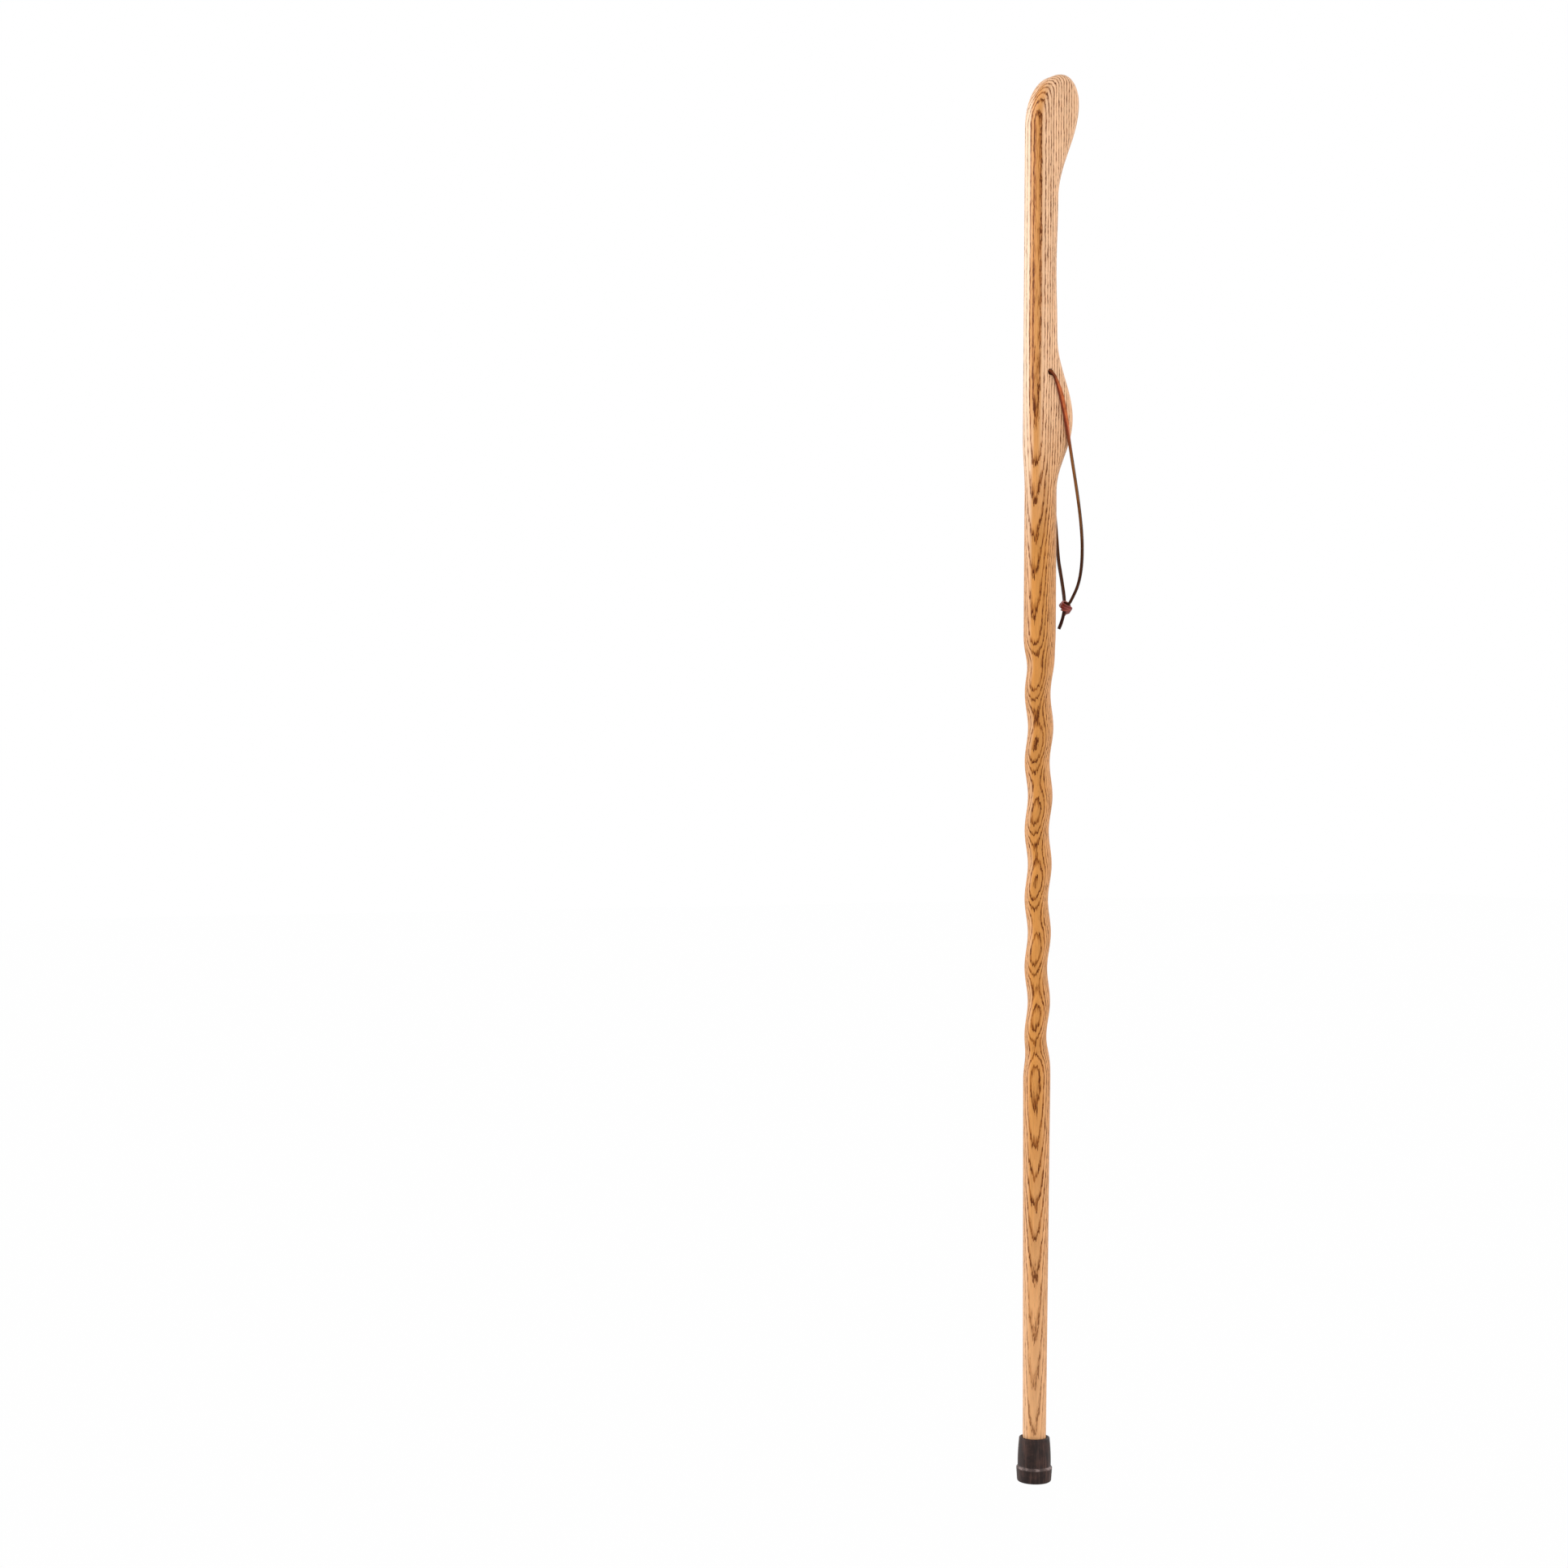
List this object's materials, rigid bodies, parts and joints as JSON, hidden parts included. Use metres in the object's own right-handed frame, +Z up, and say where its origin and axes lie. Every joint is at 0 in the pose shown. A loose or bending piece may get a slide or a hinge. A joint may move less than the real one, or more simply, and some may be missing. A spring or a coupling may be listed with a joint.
{
  "type": "hiking staff",
  "caption": "One-piece wooden hiking staff with a shaped palm handle, a spiral-cut tapering shaft, a knotted leather lanyard and a push-on rubber ferrule.",
  "frame": {"origin": "centre of the ferrule's foot, on the axis of the shaft", "axes": "+Z up the shaft to the head, +X towards the nose of the head and the palm swell, Y square to the flat faces of the handle and along the lanyard hole"},
  "size_m": [0.0568, 0.0448, 1.397],
  "materials": {
    "wood": "satin clear lacquer over ring-porous hardwood",
    "rubber": "moulded, matt",
    "steel": "zinc plated",
    "leather": "oiled lace with burnished edges"
  },
  "bodies": {
    "staff": {"staff": "wood"},
    "ferrule": {"rubber_ferrule": "rubber", "ferrule_washer": "steel"},
    "lanyard": {"lanyard_hole_run": "leather", "lanyard_front_strand": "leather", "lanyard_rear_strand": "leather", "lanyard_knot": "leather", "lanyard_front_tail": "leather", "lanyard_rear_tail": "leather"}
  },
  "joints": [
    {"name": "lanyard_swing", "type": "hinge", "parent": "staff", "child": "lanyard", "pos_m": [0, 0, 1.099], "axis": [0, -1, 0], "range_deg": [0, 150]},
    {"name": "ferrule_pull", "type": "slide", "parent": "staff", "child": "ferrule", "axis": [0, 0, -1], "range_m": [0, 0.045]}
  ]
}
